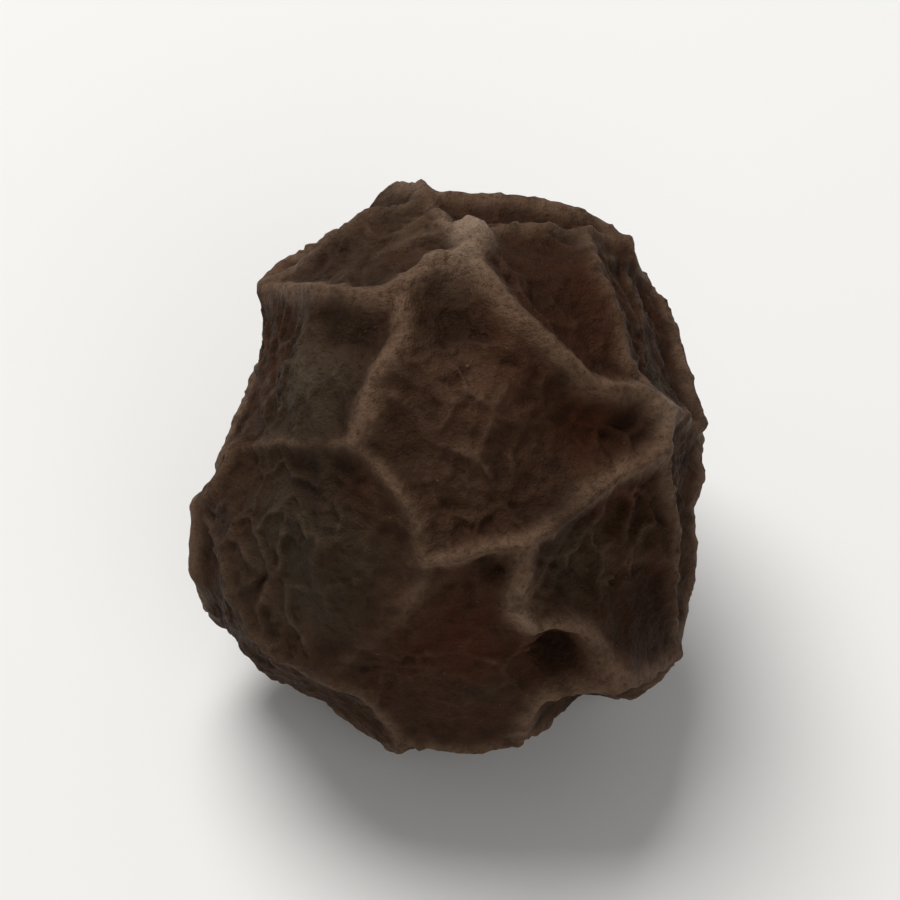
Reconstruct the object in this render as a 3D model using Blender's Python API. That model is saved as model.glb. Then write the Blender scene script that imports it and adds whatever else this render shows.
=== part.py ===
"""One dried black peppercorn, modelled at its real size in metres, with +Z up.

The berry is one piece: its skin shrank over the seed and stands in a net of pinched ridges round
sunken cells.
It rests on the scar where it sat on its stalk, and the origin is the middle of that flat spot.
The net of the side that looks forwards and up is laid out by hand; the rest is drawn by a seeded rule.
"""

import math
import random

import bmesh
import bpy
import numpy as np
from mathutils import Vector

MM = 0.001

# The side with the hand-laid net looks forwards (-Y) and up by this angle.
FACE_TILT = math.radians(50)
FACE_RIGHT = Vector((1, 0, 0))
FACE_UP = Vector((0, math.sin(FACE_TILT), math.cos(FACE_TILT)))
FACE_OUT = Vector((0, -math.cos(FACE_TILT), math.sin(FACE_TILT)))

# Outline of the berry seen square to that side: angle from the right in degrees, and radius in mm.
OUTLINE = (
    (0, 2.30),
    (30, 2.38),
    (57, 2.60),
    (80, 2.50),
    (108, 2.60),
    (128, 2.34),
    (150, 2.13),
    (170, 2.09),
    (190, 2.33),
    (217, 2.60),
    (249, 2.56),
    (275, 2.60),
    (297, 2.48),
    (316, 2.60),
    (335, 2.36),
    (350, 2.20),
)
HALF_DEPTH = 2.44  # from the middle out to that side, in mm, over the ridges

# The ridges' cross-section, in mm: a pinched crest on a low, broad foot.
CREST_HEIGHT = 0.20
CREST_WIDTH = 0.145
FOOT_HEIGHT = 0.10
FOOT_WIDTH = 0.42
RIDGE_BLEND = 5.0  # how sharply one ridge takes over from the next
CREST_VARIATION = 0.12  # of the ridges' height along them
CREST_SEED = 5

# Corners of the net on the hand-laid side, in mm right and up from its middle.
CORNERS = {
    "shoulder": (-1.62, 1.58),
    "brow": (-0.44, 1.60),
    "peak": (0.18, 1.87),
    "tip": (0.22, 2.08),
    "top_edge": (-0.22, 2.50),
    "bead": (1.25, 2.18),
    "top_right_edge": (1.62, 2.06),
    "cheek": (1.85, 0.53),
    "elbow": (1.85, 0.18),
    "right_edge": (2.30, 0.42),
    "hip": (-0.83, 0.26),
    "left_notch": (-1.95, 0.23),
    "left_edge": (-2.27, -0.34),
    "chin": (-0.17, -0.79),
    "knee": (0.67, -0.63),
    "fold": (0.75, -1.39),
    "heel": (1.43, -1.79),
    "right_foot": (1.97, -1.61),
    "toe_edge": (0.60, -2.44),
    "low_left": (-1.09, -1.95),
    "bottom_edge": (-0.46, -2.49),
}

# Ridges of that side: from, to, height at each end as a share of the full one, and the bends in mm.
FACE_RIDGES = (
    ("shoulder", "brow", 0.9, 1.0, ((-1.12, 1.55), (-0.74, 1.50))),
    ("brow", "peak", 1.0, 1.1, ((-0.18, 1.78),)),
    ("peak", "tip", 1.0, 1.0, ((0.21, 1.95),)),
    ("tip", "top_edge", 1.0, 0.35, ((0.01, 2.21), (-0.12, 2.39))),
    ("tip", "bead", 0.7, 0.5, ((0.59, 2.26),)),
    ("bead", "top_right_edge", 0.6, 0.6, ()),
    ("peak", "cheek", 0.9, 1.1, ((0.51, 1.44), (0.85, 1.08), (1.27, 0.78), (1.64, 0.70))),
    ("brow", "hip", 1.0, 0.8, ((-0.46, 1.12), (-0.64, 0.79), (-0.75, 0.45))),
    ("hip", "left_notch", 0.55, 0.4, ((-1.25, 0.23), (-1.62, 0.27))),
    ("left_notch", "left_edge", 0.6, 0.5, ((-2.08, -0.04),)),
    ("hip", "chin", 0.55, 0.65, ((-0.57, -0.07), (-0.34, -0.35), (-0.27, -0.59))),
    ("chin", "knee", 0.9, 1.1, ((0.22, -0.72),)),
    ("knee", "elbow", 1.1, 1.1, ((0.96, -0.40), (1.37, -0.10), (1.67, 0.07))),
    ("cheek", "elbow", 1.1, 1.0, ()),
    ("cheek", "right_edge", 0.9, 0.6, ()),
    ("elbow", "right_foot", 0.8, 0.6, ((1.98, -0.16), (2.03, -0.58), (1.98, -1.05), (2.03, -1.42))),
    ("knee", "fold", 1.0, 1.2, ((0.68, -0.95), (0.62, -1.22))),
    ("fold", "heel", 1.2, 1.2, ((1.04, -1.39), (1.25, -1.47), (1.34, -1.65))),
    ("heel", "right_foot", 1.1, 0.7, ((1.71, -1.79),)),
    ("heel", "toe_edge", 0.9, 0.7, ((1.17, -1.84), (0.90, -1.96), (0.72, -2.15))),
    ("chin", "low_left", 0.45, 0.25, ((-0.25, -1.08), (-0.51, -1.40), (-0.88, -1.68))),
    ("left_edge", "low_left", 0.4, 0.4, ((-2.11, -0.79), (-1.97, -1.21), (-1.74, -1.58), (-1.46, -1.81))),
    ("low_left", "bottom_edge", 0.5, 0.6, ((-0.72, -2.17),)),
    ("bead", "cheek", 0.5, 0.7, ((1.30, 1.81), (1.43, 1.54), (1.53, 1.23), (1.61, 0.98))),
    ("shoulder", "top_edge", 0.8, 0.4, ((-1.32, 1.96), (-0.93, 2.26), (-0.51, 2.43))),
)
BEND_STEPS = 4  # straight pieces of a ridge from one bend to the next

# Wrinkles that leave a ridge and run out on a floor: height at the start as a share, and the bends, in mm.
FACE_WRINKLES = (
    (0.35, ((-1.20, 0.24), (-1.13, -0.35), (-1.22, -0.95), (-1.10, -1.45))),
    (0.35, ((0.25, -0.72), (0.30, -1.20), (0.16, -1.70), (0.22, -2.10))),
    (0.45, ((-0.66, 0.75), (-0.30, 0.55), (-0.12, 0.20))),
    (0.40, ((0.01, 2.21), (-0.45, 2.10), (-0.85, 1.90))),
    (0.40, ((1.98, -0.80), (1.62, -0.86), (1.30, -0.72))),
    (0.35, ((1.04, 0.93), (1.15, 1.30), (1.05, 1.62))),
)

# Corners above from which a ridge runs on round the edge, in order round it.
RUNS_ON = (
    "right_edge",
    "top_right_edge",
    "top_edge",
    "shoulder",
    "left_edge",
    "bottom_edge",
    "toe_edge",
    "right_foot",
)

# The rest of the net: cells spread evenly behind the hand-laid side, shifted by a seeded draw.
BACK_SEED = 11
FACE_EDGE_CELLS = math.radians(80)  # from the middle of the hand-laid side to the cells along its edge
CELL_COUNT = 36
CELL_SHIFT = 0.20
CELL_CLEARANCE = math.radians(31)
BACK_RIDGE_STEPS = 8
BACK_RIDGE_SWAY = 0.13
BACK_RIDGE_HEIGHTS = (0.6, 1.15)
BACK_WRINKLE_HEIGHTS = (0.3, 0.6)
BACK_WRINKLE_REACH = (0.45, 0.8)  # from a corner towards the middle of its cell

# Dents and swellings of the hand-laid side: mm right, up, outwards, and half their width.
FACE_LUMPS = (
    (-1.28, 0.88, 0.11, 0.42),
    (0.15, 0.78, 0.06, 0.42),
    (1.15, 0.40, -0.08, 0.42),
    (1.35, -0.90, -0.09, 0.50),
    (1.05, -1.68, -0.20, 0.22),
    (1.45, -2.10, -0.16, 0.25),
    (0.90, 1.75, -0.05, 0.45),
    (-0.95, 1.95, -0.06, 0.45),
    (-1.20, -1.10, 0.06, 0.60),
    (0.05, -2.48, 0.13, 0.55),
    (0.05, 1.32, -0.09, 0.30),
    (-1.25, -0.04, -0.08, 0.32),
    (-1.05, 1.25, -0.06, 0.25),
)
UNEVENNESS = 0.045  # of the whole skin, in mm
UNEVENNESS_SEED = 3

# The dried tip of the flower end, and the scar of the stalk opposite, on which the berry rests.
TIP_HEIGHT = 0.13
TIP_WIDTH = 0.16
SCAR_RADIUS = 0.76
SCAR_DEPTH = 2.29  # from the berry's middle down to the flat spot, in mm
COLLAR_END = math.radians(44)  # from the scar to where its smooth collar has become ridged skin

# Spacing of the mesh's points, in mm: along a crest, from it to the rows beside it, and on the floors.
CREST_STEP = 0.14
ROW_OFFSETS = (0.07, 0.16, 0.28)
FLOOR_STEP = 0.21

SKIN_COLOUR = (0.030, 0.017, 0.011, 1.0)
SKIN_ROUGHNESS = 0.62


def clear_scene():
    for obj in list(bpy.data.objects):
        bpy.data.objects.remove(obj, do_unlink=True)


def outline_radius(angle):
    """Radius of the outline at this angle, in radians, by a smooth curve through its points, in mm."""
    degrees = np.degrees(angle) % 360
    marks = np.array([mark for mark, _ in OUTLINE], float)
    radii = np.array([radius for _, radius in OUTLINE], float)
    index = np.searchsorted(marks, degrees, side="right") - 1
    following = (index + 1) % len(marks)
    share = ((degrees - marks[index]) % 360) / ((marks[following] - marks[index]) % 360)
    here, there = radii[index], radii[following]
    slope_here = (there - radii[index - 1]) / 2
    slope_there = (radii[(index + 2) % len(marks)] - here) / 2
    return (
        here * (1 + 2 * share) * (1 - share) ** 2
        + slope_here * share * (1 - share) ** 2
        + there * share**2 * (3 - 2 * share)
        - slope_there * share**2 * (1 - share)
    )


def face_direction(right, up):
    """Unit direction from the berry's middle to a point given in mm right and up on the hand-laid side."""
    reach = min(math.hypot(right, up) / float(outline_radius(math.atan2(up, right))), 1)
    out = math.sqrt(1 - reach**2) * HALF_DEPTH
    return (right * FACE_RIGHT + up * FACE_UP + out * FACE_OUT).normalized()


def smooth_bends(points):
    """Points of a smooth curve through these, with BEND_STEPS steps from each to the next."""
    ends = [2 * points[0] - points[1], *points, 2 * points[-1] - points[-2]]
    curve = []
    for before, here, there, after in zip(ends, ends[1:], ends[2:], ends[3:]):
        for step in range(BEND_STEPS):
            share = step / BEND_STEPS
            curve.append(
                here
                + 0.5 * share * (there - before)
                + share**2 * (before - 2.5 * here + 2 * there - 0.5 * after)
                + share**3 * (1.5 * (here - there) + 0.5 * (after - before))
            )
    return [point.normalized() for point in [*curve, points[-1]]]


def face_ridges():
    """The hand-laid ridges: points on the unit sphere, and the height share at the start and the end."""
    ridges = []
    for start, end, first, last, bends in FACE_RIDGES:
        places = [CORNERS[start], *bends, CORNERS[end]]
        ridges.append((smooth_bends([face_direction(*place) for place in places]), first, last))
    for height, bends in FACE_WRINKLES:
        ridges.append((smooth_bends([face_direction(*place) for place in bends]), height, 0))
    return ridges


def even_directions(count):
    """Directions spread evenly over a sphere, along a spiral."""
    turn = math.pi * (3 - math.sqrt(5))
    for step in range(count):
        z = 1 - (2 * step + 1) / count
        across = math.sqrt(1 - z * z)
        yield Vector((across * math.cos(turn * step), across * math.sin(turn * step), z))


def face_edge_cells():
    """Middles for the hand-laid side: its own, and one between each two corners where ridges run on."""
    turns = [math.atan2(CORNERS[name][1], CORNERS[name][0]) for name in RUNS_ON]
    middles = [FACE_OUT]
    for turn, following in zip(turns, turns[1:] + turns[:1]):
        middle = turn + (following - turn) % (2 * math.pi) / 2
        sideways = math.cos(middle) * FACE_RIGHT + math.sin(middle) * FACE_UP
        middles.append(math.cos(FACE_EDGE_CELLS) * FACE_OUT + math.sin(FACE_EDGE_CELLS) * sideways)
    return middles


def back_cells(by_hand, draw):
    """Middles of the cells that aren't laid out by hand, as unit directions; the first is the scar."""
    found = [Vector((0, 0, -1))]
    for direction in even_directions(CELL_COUNT):
        shift = Vector([draw.uniform(-CELL_SHIFT, CELL_SHIFT) for _ in range(3)])
        cell = (direction + shift).normalized()
        behind = cell.angle(FACE_OUT) > FACE_EDGE_CELLS + CELL_CLEARANCE
        if behind and all(cell.angle(other) > CELL_CLEARANCE for other in [*by_hand, *found]):
            found.append(cell)
    return found


def swaying(start, end, draw):
    """Points of a ridge from one corner to another, swaying a little to either side."""
    sideways = start.cross(end).normalized() * start.angle(end)
    bow, wave = (draw.uniform(-BACK_RIDGE_SWAY, BACK_RIDGE_SWAY) for _ in range(2))
    points = []
    for step in range(BACK_RIDGE_STEPS + 1):
        share = step / BACK_RIDGE_STEPS
        sway = bow * math.sin(math.pi * share) + wave * math.sin(2 * math.pi * share)
        points.append((start.slerp(end, share) + sway * sideways).normalized())
    return points


def back_ridges():
    """Ridges along the borders of the drawn cells, and a wrinkle in from a corner of each."""
    draw = random.Random(BACK_SEED)
    by_hand = face_edge_cells()
    net = bmesh.new()
    for cell in [*by_hand, *back_cells(by_hand, draw)]:
        net.verts.new(cell)
    net.verts.index_update()
    bmesh.ops.convex_hull(net, input=net.verts)
    net.faces.index_update()
    net.normal_update()
    corners = {face.index: face.normal.copy() for face in net.faces}
    free = [face.index for face in net.faces if any(vert.index >= len(by_hand) for vert in face.verts)]
    for name in RUNS_ON:
        end = face_direction(*CORNERS[name])
        nearest = min(free, key=lambda face: (corners[face] - end).length)
        corners[nearest] = end
        free.remove(nearest)
    ridges = []
    for edge in net.edges:
        if any(vert.index >= len(by_hand) for vert in edge.verts):
            start, end = (corners[face.index] for face in edge.link_faces)
            first, last = (draw.uniform(*BACK_RIDGE_HEIGHTS) for _ in range(2))
            ridges.append((swaying(start, end, draw), first, last))
    for vert in net.verts:
        if vert.index > len(by_hand):
            corner = corners[draw.choice(vert.link_faces).index]
            end = corner.slerp(vert.co.normalized(), draw.uniform(*BACK_WRINKLE_REACH))
            ridges.append((swaying(corner, end, draw), draw.uniform(*BACK_WRINKLE_HEIGHTS), 0))
    net.free()
    return ridges


def nearest_on(ridge, directions):
    """How far each direction is from a ridge's crest, in mm, and how far along the ridge, from 0 to 1."""
    points = np.array([tuple(point) for point in ridge])
    best = np.full(len(directions), np.inf)
    along = np.zeros(len(directions))
    for number, (start, end) in enumerate(zip(points, points[1:])):
        piece = end - start
        share = np.clip((directions - start) @ piece / (piece @ piece), 0, 1)
        distance = np.linalg.norm(directions - start - share[:, None] * piece, axis=1)
        closer = distance < best
        best[closer] = distance[closer]
        along[closer] = (number + share[closer]) / (len(points) - 1)
    return best * HALF_DEPTH, along


def ridge_relief(ridges, directions):
    """Height of the net over the cells' floor, in mm."""
    total = np.zeros(len(directions))
    for ridge, first, last in ridges:
        distance, along = nearest_on(ridge, directions)
        crest = CREST_HEIGHT * np.exp(-((distance / CREST_WIDTH) ** 2))
        foot = FOOT_HEIGHT * np.exp(-((distance / FOOT_WIDTH) ** 2))
        total += ((first + (last - first) * along) * (crest + foot)) ** RIDGE_BLEND
    return total ** (1 / RIDGE_BLEND) * (1 + CREST_VARIATION * waves(directions, CREST_SEED, 6.0))


def waves(directions, seed, fineness):
    """A smooth uneven pattern over the sphere, mostly between -1 and 1."""
    draw = random.Random(seed)
    total = np.zeros(len(directions))
    for _ in range(12):
        wave = np.array([draw.gauss(0, fineness) for _ in range(3)])
        total += 0.4 * np.sin(directions @ wave + draw.uniform(0, 2 * math.pi))
    return total


def body_radius(directions):
    """Radius of the berry without its ridges, in mm."""
    right, up, out = (directions @ np.array(axis) for axis in (FACE_RIGHT, FACE_UP, FACE_OUT))
    rim = outline_radius(np.arctan2(up, right))
    full = 1 / np.sqrt((right**2 + up**2) / rim**2 + out**2 / HALF_DEPTH**2)
    return full - 0.8 * (CREST_HEIGHT + FOOT_HEIGHT)


def lumps(directions):
    """Height of the dents and swellings, in mm."""
    total = UNEVENNESS * waves(directions, UNEVENNESS_SEED, 3.5)
    for right, up, height, width in FACE_LUMPS:
        away = np.linalg.norm(directions - np.array(face_direction(right, up)), axis=1) * HALF_DEPTH
        total += height * np.exp(-((away / width) ** 2))
    return total


def angle_from(directions, axis):
    return np.arccos(np.clip(directions @ np.array(axis), -1, 1))


def skin_points(directions, ridges):
    """Points of the skin in mm, from the berry's middle."""
    tip_distance = angle_from(directions, face_direction(*CORNERS["tip"])) * HALF_DEPTH
    tip = TIP_HEIGHT * np.exp(-((tip_distance / TIP_WIDTH) ** 2))
    skin = body_radius(directions) + ridge_relief(ridges, directions) + lumps(directions) + tip
    scar_edge = math.atan(SCAR_RADIUS / SCAR_DEPTH)
    from_scar = angle_from(directions, (0, 0, -1))
    share = np.clip((from_scar - scar_edge) / (COLLAR_END - scar_edge), 0, 1) ** 1.2
    radius = share * skin + (1 - share) * math.hypot(SCAR_RADIUS, SCAR_DEPTH)
    flat = from_scar <= scar_edge + 1e-6
    radius[flat] = SCAR_DEPTH / np.cos(from_scar[flat])
    return directions * radius[:, None]


def evenly_along(ridge, step):
    """Points of a ridge at equal distances, and which way is sideways at each."""
    points = np.array([tuple(point) for point in ridge])
    lengths = np.concatenate(([0], np.cumsum(np.linalg.norm(np.diff(points, axis=0), axis=1)))) * HALF_DEPTH
    places = np.linspace(0, lengths[-1], max(2, round(lengths[-1] / step) + 1))
    even = np.column_stack([np.interp(places, lengths, points[:, axis]) for axis in range(3)])
    even /= np.linalg.norm(even, axis=1)[:, None]
    sideways = np.cross(even, np.gradient(even, axis=0))
    return even, sideways / np.linalg.norm(sideways, axis=1)[:, None]


def mesh_directions(ridges):
    """Where the mesh has its points: on the crests, beside them, round the scar and over the floors."""
    crests = [evenly_along(ridge, CREST_STEP) for ridge, _, _ in ridges]
    around = np.linspace(0, 2 * math.pi, round(2 * math.pi * SCAR_RADIUS / CREST_STEP), endpoint=False)
    scar_edge = np.column_stack((np.cos(around), np.sin(around), 0 * around - SCAR_DEPTH / SCAR_RADIUS))
    wanted = [(scar_edge, 0.0), *((points, CREST_STEP * 0.6) for points, _ in crests)]
    for offset in ROW_OFFSETS:
        clearance = min(offset * 0.8, CREST_STEP * 0.6)
        for points, sideways in crests:
            for side in (-1, 1):
                wanted.append((points + side * offset / HALF_DEPTH * sideways, clearance))
    count = round(4 * math.pi * HALF_DEPTH**2 / (FLOOR_STEP**2 * 0.8))
    wanted.append((np.array([tuple(direction) for direction in even_directions(count)]), FLOOR_STEP * 0.8))

    kept = np.empty((0, 3))
    for number, (points, clearance) in enumerate(wanted):
        points = points / np.linalg.norm(points, axis=1)[:, None]
        clear = np.ones(len(points), bool)
        if number > 0:
            clear &= angle_from(points, (0, 0, -1)) > math.atan((SCAR_RADIUS + 0.08) / SCAR_DEPTH)
        if number > len(crests):
            nearest = np.min([nearest_on(ridge, points)[0] for ridge, _, _ in ridges], axis=0)
            clear &= nearest > ROW_OFFSETS[0] * 0.9
        for point in points[clear]:
            if len(kept) == 0 or np.min(np.sum((kept - point) ** 2, axis=1)) * HALF_DEPTH**2 > clearance**2:
                kept = np.vstack((kept, point))
    return kept


def make_peppercorn():
    """The berry's skin: points over a sphere, joined by their hull and pushed out to the ridged surface."""
    ridges = face_ridges() + back_ridges()
    directions = mesh_directions(ridges)
    berry = bmesh.new()
    for direction in directions:
        berry.verts.new(direction)
    bmesh.ops.convex_hull(berry, input=berry.verts)
    for vert, point in zip(berry.verts, skin_points(directions, ridges)):
        vert.co = (point + (0, 0, SCAR_DEPTH)) * MM
    bmesh.ops.recalc_face_normals(berry, faces=berry.faces)

    mesh = bpy.data.meshes.new("peppercorn")
    berry.to_mesh(mesh)
    berry.free()
    mesh.materials.append(skin_material())
    mesh.shade_smooth()
    mesh.set_sharp_from_angle(angle=math.radians(60))
    obj = bpy.data.objects.new("peppercorn", mesh)
    bpy.context.scene.collection.objects.link(obj)
    return obj


def skin_material():
    material = bpy.data.materials.new("dried_skin")
    material.use_nodes = True
    shader = material.node_tree.nodes["Principled BSDF"]
    shader.inputs["Base Color"].default_value = SKIN_COLOUR
    shader.inputs["Roughness"].default_value = SKIN_ROUGHNESS
    shader.inputs["Metallic"].default_value = 0.0
    return material


def main():
    clear_scene()
    make_peppercorn()


if __name__ == "__main__":
    main()
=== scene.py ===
"""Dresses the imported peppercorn: its finely wrinkled skin, the skin's colours, and a plain stage.

The berry is a finely cut sphere, pushed out to the same net of ridges as the solid, with the smaller
wrinkles and the grain that the solid leaves out. Sizes in the tables are in millimetres.
"""

import math
import random

import bmesh
import bpy
import numpy as np
from bpy.props import FloatProperty, FloatVectorProperty, PointerProperty
from bpy.types import Operator, Panel, PropertyGroup
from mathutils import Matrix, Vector, noise


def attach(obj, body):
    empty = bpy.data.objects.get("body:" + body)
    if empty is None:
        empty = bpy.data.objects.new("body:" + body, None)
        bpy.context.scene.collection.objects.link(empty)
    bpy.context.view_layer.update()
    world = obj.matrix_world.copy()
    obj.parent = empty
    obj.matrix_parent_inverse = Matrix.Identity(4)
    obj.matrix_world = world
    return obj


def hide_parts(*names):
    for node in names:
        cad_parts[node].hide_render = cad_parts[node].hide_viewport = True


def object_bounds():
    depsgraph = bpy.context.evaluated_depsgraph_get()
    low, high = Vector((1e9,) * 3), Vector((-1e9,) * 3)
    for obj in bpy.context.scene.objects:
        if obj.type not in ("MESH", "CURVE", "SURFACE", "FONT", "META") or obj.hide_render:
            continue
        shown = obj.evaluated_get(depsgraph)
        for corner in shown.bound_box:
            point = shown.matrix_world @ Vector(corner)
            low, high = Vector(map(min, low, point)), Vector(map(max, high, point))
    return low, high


bl_info = {
    "name": "Black Peppercorn",
    "version": (1, 0, 0),
    "blender": (4, 5, 0),
    "location": "3D View > Sidebar > Peppercorn",
    "description": "Grows the wrinkled skin of a dried black peppercorn and sets its stage",
    "category": "Object",
}

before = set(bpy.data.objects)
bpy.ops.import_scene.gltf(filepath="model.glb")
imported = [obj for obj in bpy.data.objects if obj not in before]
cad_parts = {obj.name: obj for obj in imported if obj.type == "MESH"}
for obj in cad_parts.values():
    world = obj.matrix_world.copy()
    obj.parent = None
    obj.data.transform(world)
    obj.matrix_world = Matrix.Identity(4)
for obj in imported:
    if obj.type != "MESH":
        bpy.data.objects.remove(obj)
solid_low, solid_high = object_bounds()
SOLID = "peppercorn"
MM = 0.001

# The side with the listed net looks forwards (-Y) and up by this angle.
FACE_TILT = math.radians(50)
FACE_RIGHT = Vector((1, 0, 0))
FACE_UP = Vector((0, math.sin(FACE_TILT), math.cos(FACE_TILT)))
FACE_OUT = Vector((0, -math.cos(FACE_TILT), math.sin(FACE_TILT)))

# Outline of the berry seen square to that side: angle from the right in degrees, and radius.
OUTLINE = (
    (0, 2.30),
    (30, 2.38),
    (57, 2.60),
    (80, 2.50),
    (108, 2.60),
    (128, 2.34),
    (150, 2.13),
    (170, 2.09),
    (190, 2.33),
    (217, 2.60),
    (249, 2.56),
    (275, 2.60),
    (297, 2.48),
    (316, 2.60),
    (335, 2.36),
    (350, 2.20),
)
HALF_DEPTH = 2.44
RIM_SHARE = 0.8  # of a full ridge's height, by which the body lies inside the outline
RIDGE_BLEND = 5.0
CREST_VARIATION = 0.12
CREST_WAVES = 6.0
CREST_SEED = 5

# Corners of the net on the listed side, right and up from its middle.
CORNERS = {
    "shoulder": (-1.62, 1.58),
    "brow": (-0.44, 1.60),
    "peak": (0.18, 1.87),
    "tip": (0.22, 2.08),
    "top_edge": (-0.22, 2.50),
    "bead": (1.25, 2.18),
    "top_right_edge": (1.62, 2.06),
    "cheek": (1.85, 0.53),
    "elbow": (1.85, 0.18),
    "right_edge": (2.30, 0.42),
    "hip": (-0.83, 0.26),
    "left_notch": (-1.95, 0.23),
    "left_edge": (-2.27, -0.34),
    "chin": (-0.17, -0.79),
    "knee": (0.67, -0.63),
    "fold": (0.75, -1.39),
    "heel": (1.43, -1.79),
    "right_foot": (1.97, -1.61),
    "toe_edge": (0.60, -2.44),
    "low_left": (-1.09, -1.95),
    "bottom_edge": (-0.46, -2.49),
}

# Ridges of that side: from, to, height at each end as a share of the full one, and the bends between.
FACE_RIDGES = (
    ("shoulder", "brow", 0.9, 1.0, ((-1.12, 1.55), (-0.74, 1.50))),
    ("brow", "peak", 1.0, 1.1, ((-0.18, 1.78),)),
    ("peak", "tip", 1.0, 1.0, ((0.21, 1.95),)),
    ("tip", "top_edge", 1.0, 0.35, ((0.01, 2.21), (-0.12, 2.39))),
    ("tip", "bead", 0.7, 0.5, ((0.59, 2.26),)),
    ("bead", "top_right_edge", 0.6, 0.6, ()),
    ("peak", "cheek", 0.9, 1.1, ((0.51, 1.44), (0.85, 1.08), (1.27, 0.78), (1.64, 0.70))),
    ("brow", "hip", 1.0, 0.8, ((-0.46, 1.12), (-0.64, 0.79), (-0.75, 0.45))),
    ("hip", "left_notch", 0.55, 0.4, ((-1.25, 0.23), (-1.62, 0.27))),
    ("left_notch", "left_edge", 0.6, 0.5, ((-2.08, -0.04),)),
    ("hip", "chin", 0.55, 0.65, ((-0.57, -0.07), (-0.34, -0.35), (-0.27, -0.59))),
    ("chin", "knee", 0.9, 1.1, ((0.22, -0.72),)),
    ("knee", "elbow", 1.1, 1.1, ((0.96, -0.40), (1.37, -0.10), (1.67, 0.07))),
    ("cheek", "elbow", 1.1, 1.0, ()),
    ("cheek", "right_edge", 0.9, 0.6, ()),
    ("elbow", "right_foot", 0.8, 0.6, ((1.98, -0.16), (2.03, -0.58), (1.98, -1.05), (2.03, -1.42))),
    ("knee", "fold", 1.0, 1.2, ((0.68, -0.95), (0.62, -1.22))),
    ("fold", "heel", 1.2, 1.2, ((1.04, -1.39), (1.25, -1.47), (1.34, -1.65))),
    ("heel", "right_foot", 1.1, 0.7, ((1.71, -1.79),)),
    ("heel", "toe_edge", 0.9, 0.7, ((1.17, -1.84), (0.90, -1.96), (0.72, -2.15))),
    ("chin", "low_left", 0.45, 0.25, ((-0.25, -1.08), (-0.51, -1.40), (-0.88, -1.68))),
    ("left_edge", "low_left", 0.4, 0.4, ((-2.11, -0.79), (-1.97, -1.21), (-1.74, -1.58), (-1.46, -1.81))),
    ("low_left", "bottom_edge", 0.5, 0.6, ((-0.72, -2.17),)),
    ("bead", "cheek", 0.5, 0.7, ((1.30, 1.81), (1.43, 1.54), (1.53, 1.23), (1.61, 0.98))),
    ("shoulder", "top_edge", 0.8, 0.4, ((-1.32, 1.96), (-0.93, 2.26), (-0.51, 2.43))),
)
BEND_STEPS = 4

# Wrinkles that leave a ridge and run out on a floor: height at the start as a share, and the bends.
FACE_WRINKLES = (
    (0.35, ((-1.20, 0.24), (-1.13, -0.35), (-1.22, -0.95), (-1.10, -1.45))),
    (0.35, ((0.25, -0.72), (0.30, -1.20), (0.16, -1.70), (0.22, -2.10))),
    (0.45, ((-0.66, 0.75), (-0.30, 0.55), (-0.12, 0.20))),
    (0.40, ((0.01, 2.21), (-0.45, 2.10), (-0.85, 1.90))),
    (0.40, ((1.98, -0.80), (1.62, -0.86), (1.30, -0.72))),
    (0.35, ((1.04, 0.93), (1.15, 1.30), (1.05, 1.62))),
)

# Corners above from which a ridge runs on round the edge, in order round it.
RUNS_ON = (
    "right_edge",
    "top_right_edge",
    "top_edge",
    "shoulder",
    "left_edge",
    "bottom_edge",
    "toe_edge",
    "right_foot",
)

# The rest of the net: cells spread evenly behind the listed side, shifted by a seeded draw.
BACK_SEED = 11
FACE_EDGE_CELLS = math.radians(80)
CELL_COUNT = 36
CELL_SHIFT = 0.20
CELL_CLEARANCE = math.radians(31)
BACK_RIDGE_STEPS = 8
BACK_RIDGE_SWAY = 0.13
BACK_RIDGE_HEIGHTS = (0.6, 1.15)
BACK_WRINKLE_HEIGHTS = (0.3, 0.6)
BACK_WRINKLE_REACH = (0.45, 0.8)

# Dents and swellings of the listed side: right, up, outwards, and half their width.
FACE_LUMPS = (
    (-1.28, 0.88, 0.11, 0.42),
    (0.15, 0.78, 0.06, 0.42),
    (1.15, 0.40, -0.08, 0.42),
    (1.35, -0.90, -0.09, 0.50),
    (1.05, -1.68, -0.20, 0.22),
    (1.45, -2.10, -0.16, 0.25),
    (0.90, 1.75, -0.05, 0.45),
    (-0.95, 1.95, -0.06, 0.45),
    (-1.20, -1.10, 0.06, 0.60),
    (0.05, -2.48, 0.13, 0.55),
    (0.05, 1.32, -0.09, 0.30),
    (-1.25, -0.04, -0.08, 0.32),
    (-1.05, 1.25, -0.06, 0.25),
)
UNEVENNESS = 0.045
UNEVENNESS_WAVES = 3.5
UNEVENNESS_SEED = 3
WAVE_COUNT = 12
WAVE_SHARE = 0.4

# The dried tip of the flower end, and the stalk's scar opposite.
TIP_HEIGHT = 0.13
TIP_WIDTH = 0.18
SCAR_RADIUS = 0.76
SCAR_DEPTH = 2.29
COLLAR_END = math.radians(44)

# The sphere that the berry grows from: the steps of its icosphere, and the cuts that follow in each edge.
SPHERE_STEPS = 6
SPHERE_CUTS = 2

# Shape of the crests. The limit is the height towards which the net's pointed corners are rounded off.
CREST_POWER = 1.4
CORNER_LIMIT = 0.37
CORNER_POWER = 6
RIDGE_REACH = 0.55  # beyond this angle from a ridge its foot has run out
PUCKER_SEED = 8
PUCKER_LENGTH = 0.19
PUCKER_RISE = 0.12  # how much a pucker lifts the crest, for each part that it widens it
GROOVE_PLACE = 0.36
GROOVE_WIDTH = 0.13
GROOVE_CHANGE = 0.5

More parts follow.
